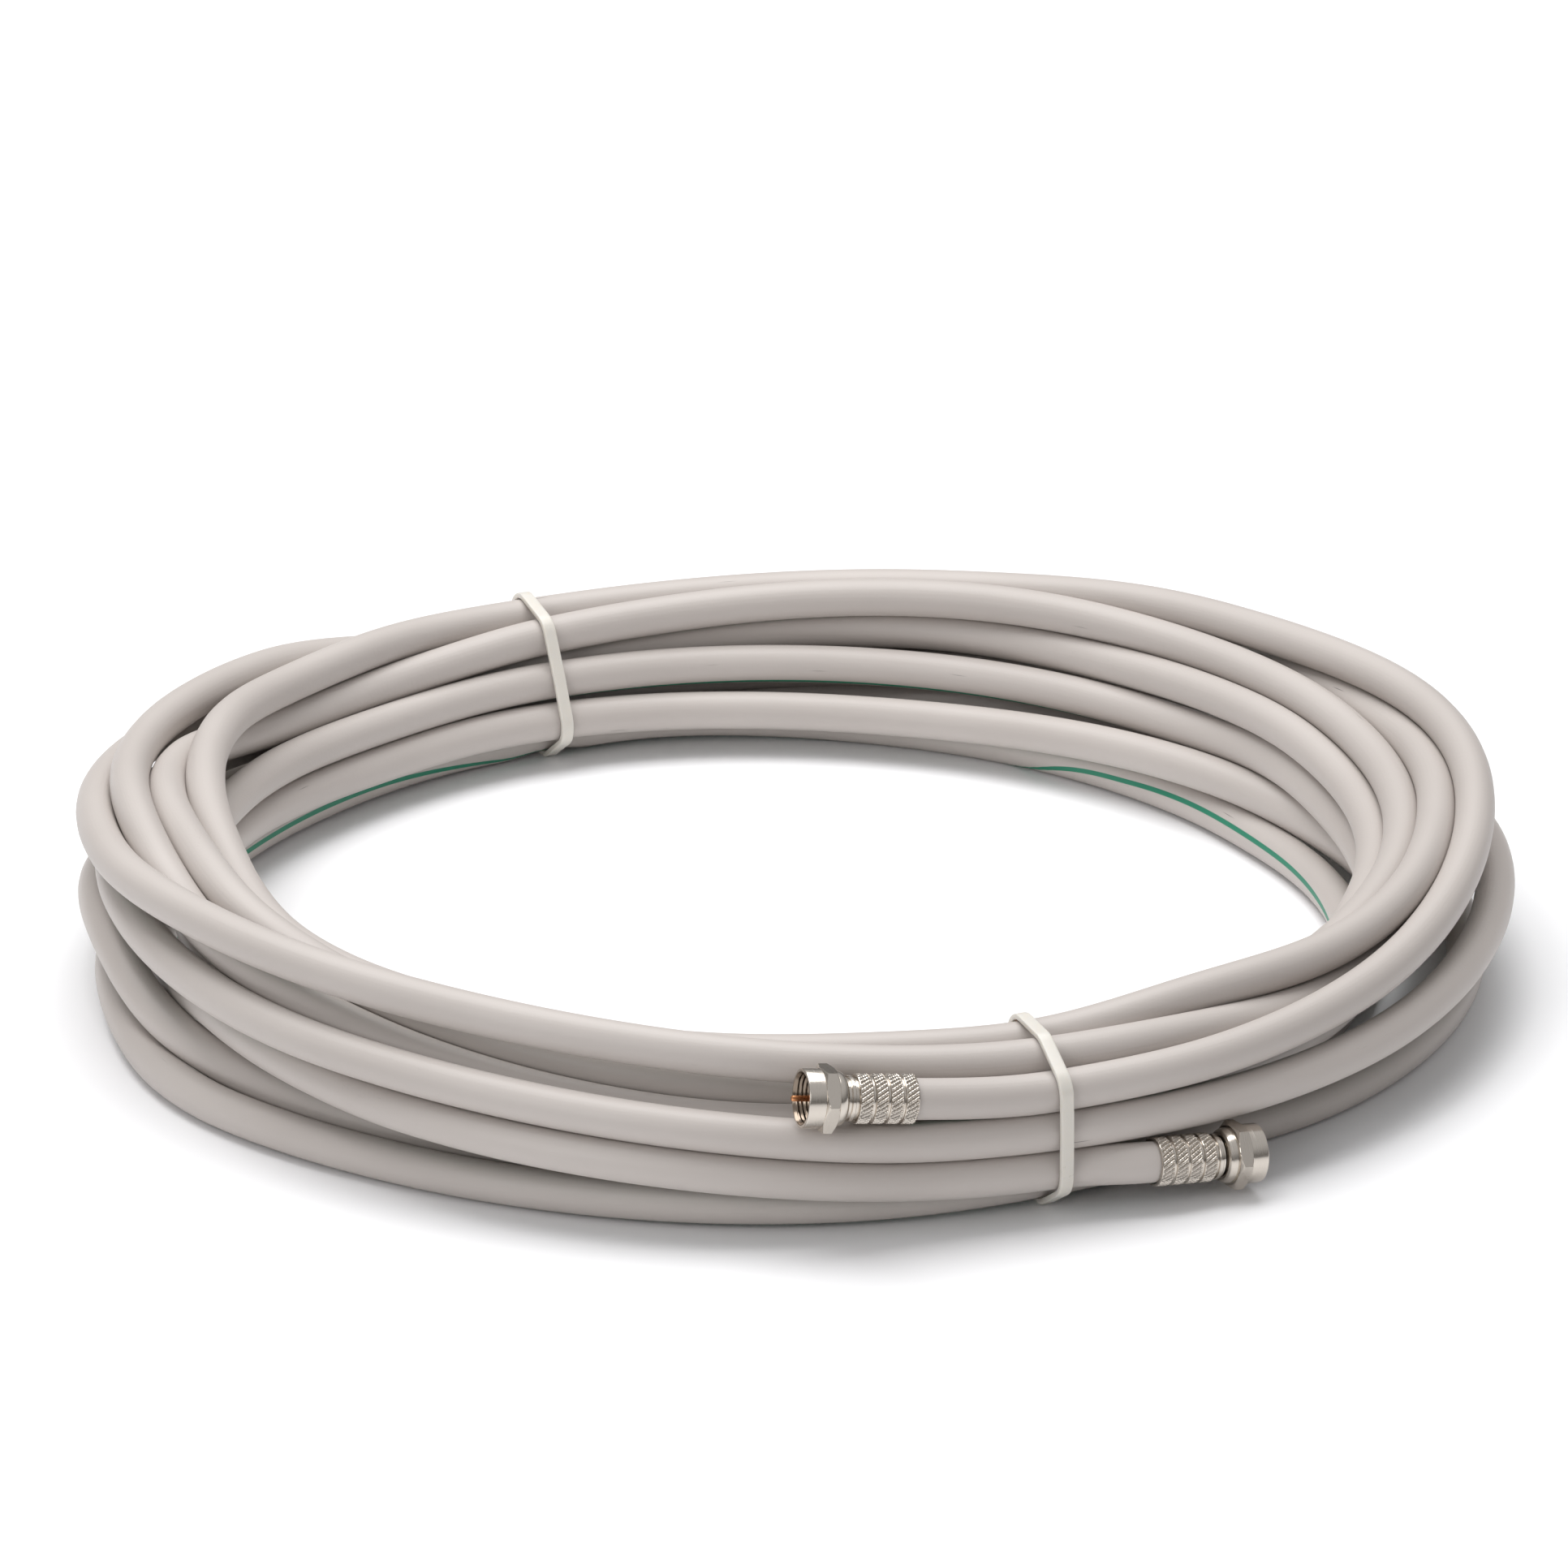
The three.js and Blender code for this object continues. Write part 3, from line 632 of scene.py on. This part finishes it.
def body_profile(around):
    """Rows of (z, radius) from the flange over the post, neck, ring and sleeve, and back inside."""
    ring_start = NECK_START + (NECK_LONG - RING_LONG) / 2
    front = np.array([
        [FLANGE_END - FLANGE_LONG, BORE_R + 0.05], [FLANGE_END - FLANGE_LONG, FLANGE_R - 0.1],
        [FLANGE_END - FLANGE_LONG + 0.1, FLANGE_R], [FLANGE_END, FLANGE_R], [FLANGE_END, POST_R],
        [NECK_START, POST_R], [NECK_START, NECK_R - 0.1], [NECK_START + 0.1, NECK_R],
        [ring_start, NECK_R], [ring_start, RING_R - 0.08], [ring_start + 0.08, RING_R],
        [ring_start + RING_LONG - 0.08, RING_R], [ring_start + RING_LONG, RING_R - 0.08],
        [ring_start + RING_LONG, NECK_R], [SLEEVE_START, NECK_R],
    ])
    back = np.array([
        [CONNECTOR_LONG, SLEEVE_R - 0.55], [CONNECTOR_LONG - 0.1, CABLE_HOLE_R],
        [CONNECTOR_LONG - 5.0, CABLE_HOLE_R], [CONNECTOR_LONG - 5.0, BORE_R],
        [FLANGE_END - FLANGE_LONG + 0.05, BORE_R],
    ])
    sleeve_z = ramp(0, SLEEVE_LONG, SLEEVE_ROWS)
    z = np.concatenate([front[:, 0], SLEEVE_START + sleeve_z, back[:, 0]])
    all_round = np.ones((1, len(around)))
    radius = np.vstack([
        front[:, 1:] * all_round, knurled(sleeve_z, around), back[:, 1:] * all_round
    ])
    return z, radius


bodies = {}
for letter in HEX_ROLL:
    around = 2 * np.pi * np.arange(BODY_COLUMNS) / BODY_COLUMNS
    z, radius = body_profile(around)
    length_along = np.concatenate([[0], np.cumsum(np.hypot(np.diff(z), np.diff(radius[:, 0])))])
    grid = turned_grid(z, radius, around, letter)
    bodies[letter] = new_piece(f"body_{letter}", [(grid, length_along * MM, True)], sharp=40)
    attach(bodies[letter], "coil")
    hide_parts(f"connector_body_{letter}")

# %% [markdown]
#
# The length here is an estimate. It is the route through the ten turns and both ends, and the number
# of turns is inferred, so one turn more or less would change it by about three quarters of a metre.

# %% [markdown]
# ## Finishes
#
# Five finishes cover the object: the vinyl jacket, the nylon of the ties, nickel plate, copper and
# the white insulation. All of them are built from nodes, so they stay sharp at any distance. Wear and
# fine grain are needed by several of them. Each is a node group that gives out a mask or a height,
# and the material that uses it sets its own scale and strength and keeps the shader.

# %% Helpers for node trees


def add_node(tree, kind, where=(0, 0), **settings):
    node = tree.nodes.new(kind)
    node.location = where
    for key, value in settings.items():
        setattr(node, key, value)
    return node


def join(tree, source, target):
    tree.links.new(source, target)


def new_group(name, inputs, outputs):
    """A node group with float inputs {name: default}, and a vector called Place, and its outputs."""
    tree = bpy.data.node_groups.new(name, "ShaderNodeTree")
    tree.interface.new_socket("Place", in_out="INPUT", socket_type="NodeSocketVector")
    for label, default in inputs.items():
        socket = tree.interface.new_socket(label, in_out="INPUT", socket_type="NodeSocketFloat")
        socket.default_value = default
    for label in outputs:
        tree.interface.new_socket(label, in_out="OUTPUT", socket_type="NodeSocketFloat")
    return tree, add_node(tree, "NodeGroupInput", (-800, 0)), add_node(tree, "NodeGroupOutput", (600, 0))


# %% Group: handling marks


def make_marks_group():
    """Mask of scuffs: long thin stretched noise where a broad noise lets it through."""
    tree, ins, outs = new_group("handling_marks", {"Scale": 40.0, "Cover": 0.5}, ["Mask"])
    broad = add_node(tree, "ShaderNodeTexNoise", (-500, 200))
    broad.inputs["Detail"].default_value = 2.0
    fine_scale = add_node(tree, "ShaderNodeMath", (-700, -200), operation="MULTIPLY")
    fine_scale.inputs[1].default_value = 14.0
    fine = add_node(tree, "ShaderNodeTexNoise", (-500, -150))
    fine.inputs["Detail"].default_value = 5.0
    fine.inputs["Distortion"].default_value = 1.2
    both = add_node(tree, "ShaderNodeMath", (-250, 0), operation="MULTIPLY")
    low = add_node(tree, "ShaderNodeMath", (-250, -200), operation="SUBTRACT")
    low.inputs[0].default_value = 0.52
    cover = add_node(tree, "ShaderNodeMath", (-420, -400), operation="MULTIPLY")
    cover.inputs[1].default_value = 0.3
    shape = add_node(tree, "ShaderNodeMapRange", (0, 0), interpolation_type="SMOOTHSTEP")
    shape.inputs["From Max"].default_value = 0.5
    join(tree, ins.outputs["Place"], broad.inputs["Vector"])
    join(tree, ins.outputs["Scale"], broad.inputs["Scale"])
    join(tree, ins.outputs["Place"], fine.inputs["Vector"])
    join(tree, ins.outputs["Scale"], fine_scale.inputs[0])
    join(tree, fine_scale.outputs[0], fine.inputs["Scale"])
    join(tree, broad.outputs["Fac"], both.inputs[0])
    join(tree, fine.outputs["Fac"], both.inputs[1])
    join(tree, ins.outputs["Cover"], cover.inputs[0])
    join(tree, cover.outputs[0], low.inputs[1])
    join(tree, low.outputs[0], shape.inputs["From Min"])
    join(tree, both.outputs[0], shape.inputs["Value"])
    join(tree, shape.outputs["Result"], outs.inputs["Mask"])
    return tree


marks_group = make_marks_group()
print("group:", marks_group.name)

# %% Group: fine grain


def make_grain_group():
    """Height of a moulded or drawn surface: fine noise plus a share of a much broader one."""
    tree, ins, outs = new_group("fine_grain", {"Scale": 900.0, "Broad": 0.4}, ["Height"])
    fine = add_node(tree, "ShaderNodeTexNoise", (-450, 150))
    fine.inputs["Detail"].default_value = 3.0
    broad_scale = add_node(tree, "ShaderNodeMath", (-620, -150), operation="MULTIPLY")
    broad_scale.inputs[1].default_value = 0.07
    broad = add_node(tree, "ShaderNodeTexNoise", (-450, -150))
    broad.inputs["Detail"].default_value = 1.0
    total = add_node(tree, "ShaderNodeMath", (0, 0), operation="MULTIPLY_ADD")
    join(tree, ins.outputs["Place"], fine.inputs["Vector"])
    join(tree, ins.outputs["Scale"], fine.inputs["Scale"])
    join(tree, ins.outputs["Place"], broad.inputs["Vector"])
    join(tree, ins.outputs["Scale"], broad_scale.inputs[0])
    join(tree, broad_scale.outputs[0], broad.inputs["Scale"])
    join(tree, broad.outputs["Fac"], total.inputs[0])
    join(tree, ins.outputs["Broad"], total.inputs[1])
    join(tree, fine.outputs["Fac"], total.inputs[2])
    join(tree, total.outputs[0], outs.inputs["Height"])
    return tree


grain_group = make_grain_group()
print("group:", grain_group.name)

# %% Helpers for materials


def new_material(name, **constants):
    """A material with its Principled shader, whose constant sockets are set here."""
    material = bpy.data.materials.new(name)
    material.use_nodes = True
    tree = material.node_tree
    shader = tree.nodes["Principled BSDF"]
    for label, value in constants.items():
        shader.inputs[label.replace("_", " ")].default_value = value
    return material, tree, shader


def use_group(tree, group, place, where, **values):
    node = add_node(tree, "ShaderNodeGroup", where, node_tree=group)
    join(tree, place, node.inputs["Place"])
    for label, value in values.items():
        node.inputs[label].default_value = value
    return node


def mix_colour(tree, factor, a, b, where=(0, 0)):
    """Colour a where the factor is 0 and b where it is 1; a and b are colours or sockets."""
    node = add_node(tree, "ShaderNodeMix", where, data_type="RGBA")
    join(tree, factor, node.inputs["Factor"])
    for socket, value in ((node.inputs["A"], a), (node.inputs["B"], b)):
        if isinstance(value, tuple):
            socket.default_value = (*value, 1.0)
        else:
            join(tree, value, socket)
    return node.outputs["Result"]


def map_value(tree, value, low, high, to_low, to_high, where=(0, 0), smooth=True):
    """The value's range low to high, stretched to to_low to to_high."""
    node = add_node(tree, "ShaderNodeMapRange", where)
    node.interpolation_type = "SMOOTHSTEP" if smooth else "LINEAR"
    join(tree, value, node.inputs["Value"])
    for label, number in zip(("From Min", "From Max", "To Min", "To Max"), (low, high, to_low, to_high)):
        node.inputs[label].default_value = number
    return node.outputs["Result"]


def set_bump(tree, shader, height, strength, distance):
    node = add_node(tree, "ShaderNodeBump", (-200, -400))
    node.inputs["Strength"].default_value = strength
    node.inputs["Distance"].default_value = distance
    join(tree, height, node.inputs["Height"])
    join(tree, node.outputs["Normal"], shader.inputs["Normal"])


def scaled(tree, vector, factors, where=(0, 0)):
    node = add_node(tree, "ShaderNodeMapping", where)
    node.inputs["Scale"].default_value = factors
    join(tree, vector, node.inputs["Vector"])
    return node.outputs["Vector"]


# %% [markdown]
# ### Jacket
#
# The jacket is warm light-grey vinyl with a dull sheen. It isn't quite even: the grey drifts a
# little from place to place, rubbing has left faint darker smudges and a few short nicks, and the die
# it was drawn through has left lines along it. The stripe is read from the UV map, so it follows the
# cable's roll exactly.

# %% Jacket
STRIPE_WIDE_MM = 1.05

jacket, tree, shader = new_material("jacket_vinyl", IOR=1.5, Specular_IOR_Level=0.42)
coordinates = add_node(tree, "ShaderNodeTexCoord", (-1500, 0))
place, skin = coordinates.outputs["Object"], coordinates.outputs["UV"]

drift = add_node(tree, "ShaderNodeTexNoise", (-1100, 500))
drift.inputs["Scale"].default_value = 14.0
drift.inputs["Detail"].default_value = 3.0
join(tree, place, drift.inputs["Vector"])
drift_share = map_value(tree, drift.outputs["Fac"], 0.3, 0.7, 0.0, 1.0, (-900, 500))
grey = mix_colour(tree, drift_share, (0.53, 0.487, 0.458), (0.49, 0.448, 0.42), (-700, 500))

rub_place = scaled(tree, skin, (1.6, 14.0, 1.0), (-1300, 200))
marks = use_group(tree, marks_group, rub_place, (-1100, 200), Scale=3.0, Cover=0.3)
smudge = map_value(tree, marks.outputs["Mask"], 0.0, 1.0, 0.0, 0.16, (-900, 200))
grey = mix_colour(tree, smudge, grey, (0.34, 0.315, 0.30), (-500, 400))

nick_place = scaled(tree, skin, (30.0, 55.0, 1.0), (-1300, -100))
nicks = add_node(tree, "ShaderNodeTexVoronoi", (-1100, -100), feature="F1")
nicks.inputs["Scale"].default_value = 1.0
join(tree, nick_place, nicks.inputs["Vector"])
nick_pick = add_node(tree, "ShaderNodeSeparateColor", (-900, -250))
join(tree, nicks.outputs["Color"], nick_pick.inputs["Color"])
few = map_value(tree, nick_pick.outputs["Red"], 0.975, 0.98, 0.0, 1.0, (-700, -250))
spot = map_value(tree, nicks.outputs["Distance"], 0.05, 0.16, 1.0, 0.0, (-700, -100))
nick = add_node(tree, "ShaderNodeMath", (-500, -150), operation="MULTIPLY")
join(tree, few, nick.inputs[0])
join(tree, spot, nick.inputs[1])
grey = mix_colour(tree, nick.outputs[0], grey, (0.22, 0.2, 0.19), (-300, 300))

split = add_node(tree, "ShaderNodeSeparateXYZ", (-1300, -450))
join(tree, skin, split.inputs["Vector"])
from_stripe = add_node(tree, "ShaderNodeMath", (-1100, -450), operation="SUBTRACT")
from_stripe.inputs[1].default_value = STRIPE_U
join(tree, split.outputs["X"], from_stripe.inputs[0])
aside = add_node(tree, "ShaderNodeMath", (-950, -450), operation="ABSOLUTE")
join(tree, from_stripe.outputs[0], aside.inputs[0])
half_stripe = STRIPE_WIDE_MM / 2 / (np.pi * CABLE_MM)
stripe = map_value(tree, aside.outputs[0], 0.82 * half_stripe, 1.12 * half_stripe, 1.0, 0.0, (-750, -450))
colour = mix_colour(tree, stripe, grey, (0.02, 0.21, 0.125), (-100, 200))
join(tree, colour, shader.inputs["Base Color"])

rough = map_value(tree, marks.outputs["Mask"], 0.0, 1.0, 0.46, 0.62, (-500, 0))
join(tree, rough, shader.inputs["Roughness"])

line_place = scaled(tree, skin, (60.0, 2.5, 1.0), (-1300, -700))
lines = add_node(tree, "ShaderNodeTexNoise", (-1100, -700))
lines.inputs["Scale"].default_value = 1.0
lines.inputs["Detail"].default_value = 3.0
join(tree, line_place, lines.inputs["Vector"])
grain = use_group(tree, grain_group, place, (-1100, -950), Scale=1500.0, Broad=1.6)
relief = add_node(tree, "ShaderNodeMath", (-800, -800), operation="ADD")
join(tree, lines.outputs["Fac"], relief.inputs[0])
join(tree, grain.outputs["Height"], relief.inputs[1])
dented = add_node(tree, "ShaderNodeMath", (-600, -800), operation="SUBTRACT")
join(tree, relief.outputs[0], dented.inputs[0])
join(tree, nick.outputs[0], dented.inputs[1])
set_bump(tree, shader, dented.outputs[0], 0.35, 0.00006)
print("jacket nodes:", len(tree.nodes))

# %% [markdown]
# ### Nylon
#
# Natural nylon is off-white and lets a little light in, so its edges look soft. Some subsurface
# scattering in the shader does that, and fine grain keeps the moulded head from looking polished.

# %% Nylon
nylon, tree, shader = new_material(
    "tie_nylon", IOR=1.53, Subsurface_Weight=0.25, Subsurface_Scale=0.002
)
shader.inputs["Subsurface Radius"].default_value = (1.0, 0.8, 0.6)
place = add_node(tree, "ShaderNodeTexCoord", (-1100, 0)).outputs["Object"]
marks = use_group(tree, marks_group, place, (-900, 200), Scale=90.0, Cover=0.5)
smudge = map_value(tree, marks.outputs["Mask"], 0.0, 1.0, 0.0, 0.4, (-650, 200))
colour = mix_colour(tree, smudge, (0.67, 0.64, 0.585), (0.5, 0.46, 0.4), (-400, 200))
join(tree, colour, shader.inputs["Base Color"])
rough = map_value(tree, marks.outputs["Mask"], 0.0, 1.0, 0.34, 0.55, (-400, 0))
join(tree, rough, shader.inputs["Roughness"])
grain = use_group(tree, grain_group, place, (-900, -300), Scale=1800.0, Broad=0.8)
set_bump(tree, shader, grain.outputs["Height"], 0.3, 0.00005)
print("nylon nodes:", len(tree.nodes))

# %% [markdown]
# ### Nickel, copper and insulation
#
# Nickel plate is a warm grey metal. Turning leaves fine rings round it, so one noise is squeezed
# along the axis by way of the UV map. The inside of a nut gets painted shade: its colour is mixed
# towards dark brown there, standing in for the shadow in the bore. Its v is counted towards the rear
# wall and turns negative inside, so a range of v finds it. Copper gets a light tarnish. The
# insulation is white foam, seen only deep inside the mouth.

# %% Nickel
nickel, tree, shader = new_material("nickel_plate", Metallic=1.0)
coordinates = add_node(tree, "ShaderNodeTexCoord", (-1300, 0))
place, skin = coordinates.outputs["Object"], coordinates.outputs["UV"]
marks = use_group(tree, marks_group, place, (-900, 300), Scale=160.0, Cover=0.55)
tarnish = map_value(tree, marks.outputs["Mask"], 0.0, 1.0, 0.0, 0.5, (-650, 300))
colour = mix_colour(tree, tarnish, (0.62, 0.57, 0.51), (0.40, 0.345, 0.285), (-400, 300))
split = add_node(tree, "ShaderNodeSeparateXYZ", (-1100, 550))
join(tree, skin, split.inputs["Vector"])
# Painted shade: inside each nut's bore the colour is mixed towards dark brown, standing in for the shadow
# in that recess.
painted_bore_shade = map_value(tree, split.outputs["Y"], -0.0012, 0.0, 0.85, 0.0, (-650, 550))
colour = mix_colour(tree, painted_bore_shade, colour, (0.16, 0.115, 0.08), (-200, 300))
join(tree, colour, shader.inputs["Base Color"])
ring_place = scaled(tree, skin, (3.0, 9000.0, 1.0), (-1100, -100))
rings = add_node(tree, "ShaderNodeTexNoise", (-900, -100))
rings.inputs["Scale"].default_value = 1.0
rings.inputs["Detail"].default_value = 2.0
join(tree, ring_place, rings.inputs["Vector"])
rough = map_value(tree, rings.outputs["Fac"], 0.25, 0.75, 0.14, 0.28, (-400, 0))
join(tree, rough, shader.inputs["Roughness"])
set_bump(tree, shader, rings.outputs["Fac"], 0.12, 0.00003)
print("nickel nodes:", len(tree.nodes))

# %% Copper
copper, tree, shader = new_material("copper_wire", Metallic=1.0)
place = add_node(tree, "ShaderNodeTexCoord", (-1100, 0)).outputs["Object"]
marks = use_group(tree, marks_group, place, (-900, 200), Scale=260.0, Cover=0.7)
colour = mix_colour(tree, marks.outputs["Mask"], (0.78, 0.36, 0.17), (0.4, 0.17, 0.08), (-400, 200))
join(tree, colour, shader.inputs["Base Color"])
rough = map_value(tree, marks.outputs["Mask"], 0.0, 1.0, 0.22, 0.45, (-400, 0))
join(tree, rough, shader.inputs["Roughness"])
grain = use_group(tree, grain_group, place, (-900, -300), Scale=2500.0, Broad=0.5)
set_bump(tree, shader, grain.outputs["Height"], 0.2, 0.00003)

# %% Insulation
foam, tree, shader = new_material("foam_insulation", Roughness=0.7)
place = add_node(tree, "ShaderNodeTexCoord", (-1100, 0)).outputs["Object"]
grain = use_group(tree, grain_group, place, (-900, 0), Scale=3000.0, Broad=0.6)
share = map_value(tree, grain.outputs["Height"], 0.5, 1.1, 0.0, 1.0, (-650, 100))
colour = mix_colour(tree, share, (0.62, 0.6, 0.57), (0.8, 0.79, 0.77), (-400, 100))
join(tree, colour, shader.inputs["Base Color"])
set_bump(tree, shader, grain.outputs["Height"], 0.4, 0.0001)

# %% Put the finishes on


def finish_with(material, *pieces):
    for piece in pieces:
        piece.data.materials.clear()
        piece.data.materials.append(material)


finish_with(jacket, cable)
finish_with(nylon, *ties.values())
finish_with(nickel, *nuts.values(), *bodies.values())

node_finishes = {"cable_": jacket, "cable_tie": nylon, "coupling": nickel, "connector": nickel,
                 "insulation": foam, "centre_wire": copper}
for name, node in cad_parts.items():
    kind = max((k for k in node_finishes if name.startswith(k)), key=len)
    for slot in node.material_slots:
        slot.material = node_finishes[kind]
print("nodes with a finish:", len(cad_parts))

# %% [markdown]
# ## Floor and light
#
# The coil lies on a plain white surface under soft studio light: one broad light overhead and a
# little behind, a weaker one at the front left, and a pale room all round. The room is darker low
# down, so that metal has something dark to reflect and keeps its shape.

# %% Floor
FLOOR_MM = 6000.0
corners = np.array([[-1, -1], [1, -1], [1, 1], [-1, 1]]) * FLOOR_MM / 2
floor_mesh = bpy.data.meshes.new("floor")
floor_mesh.from_pydata([(x * MM, y * MM, 0.0) for x, y in corners.tolist()], [], [(0, 1, 2, 3)])
floor = bpy.data.objects.new("floor", floor_mesh)
scene.collection.objects.link(floor)
paper, tree, shader = new_material("floor_paper", Roughness=0.55)
shader.inputs["Base Color"].default_value = (0.92, 0.92, 0.93, 1.0)
floor_mesh.materials.append(paper)

# %% Lights


def area_light(name, place_mm, aim_mm, size_mm, watts, colour=(1.0, 1.0, 1.0)):
    data = bpy.data.lights.new(name, "AREA")
    data.shape = "RECTANGLE"
    data.size, data.size_y = size_mm[0] * MM, size_mm[1] * MM
    data.energy = watts
    data.color = colour
    light = bpy.data.objects.new(name, data)
    light.location = Vector(np.array(place_mm) * MM)
    way = Vector(np.array(aim_mm, dtype=float) - np.array(place_mm, dtype=float))
    light.rotation_mode = "QUATERNION"
    light.rotation_quaternion = way.to_track_quat("-Z", "Y")
    scene.collection.objects.link(light)


area_light("overhead", (-150, 350, 1300), (0, 0, 0), (1300, 1100), 20.0)
area_light("front_left", (-900, -1300, 700), (0, 0, 0), (700, 700), 5.0)

world = bpy.data.worlds.new("room")
world.use_nodes = True
scene.world = world
tree = world.node_tree
background = tree.nodes["Background"]
sky = add_node(tree, "ShaderNodeTexCoord", (-800, 0))
split = add_node(tree, "ShaderNodeSeparateXYZ", (-600, 0))
join(tree, sky.outputs["Generated"], split.inputs["Vector"])
height = map_value(tree, split.outputs["Z"], -0.1, 0.7, 0.0, 1.0, (-400, 0))
room = mix_colour(tree, height, (0.10, 0.09, 0.08), (0.95, 0.95, 0.96), (-200, 0))
join(tree, room, background.inputs["Color"])
background.inputs["Strength"].default_value = 0.6

scene.view_settings.view_transform = "Standard"
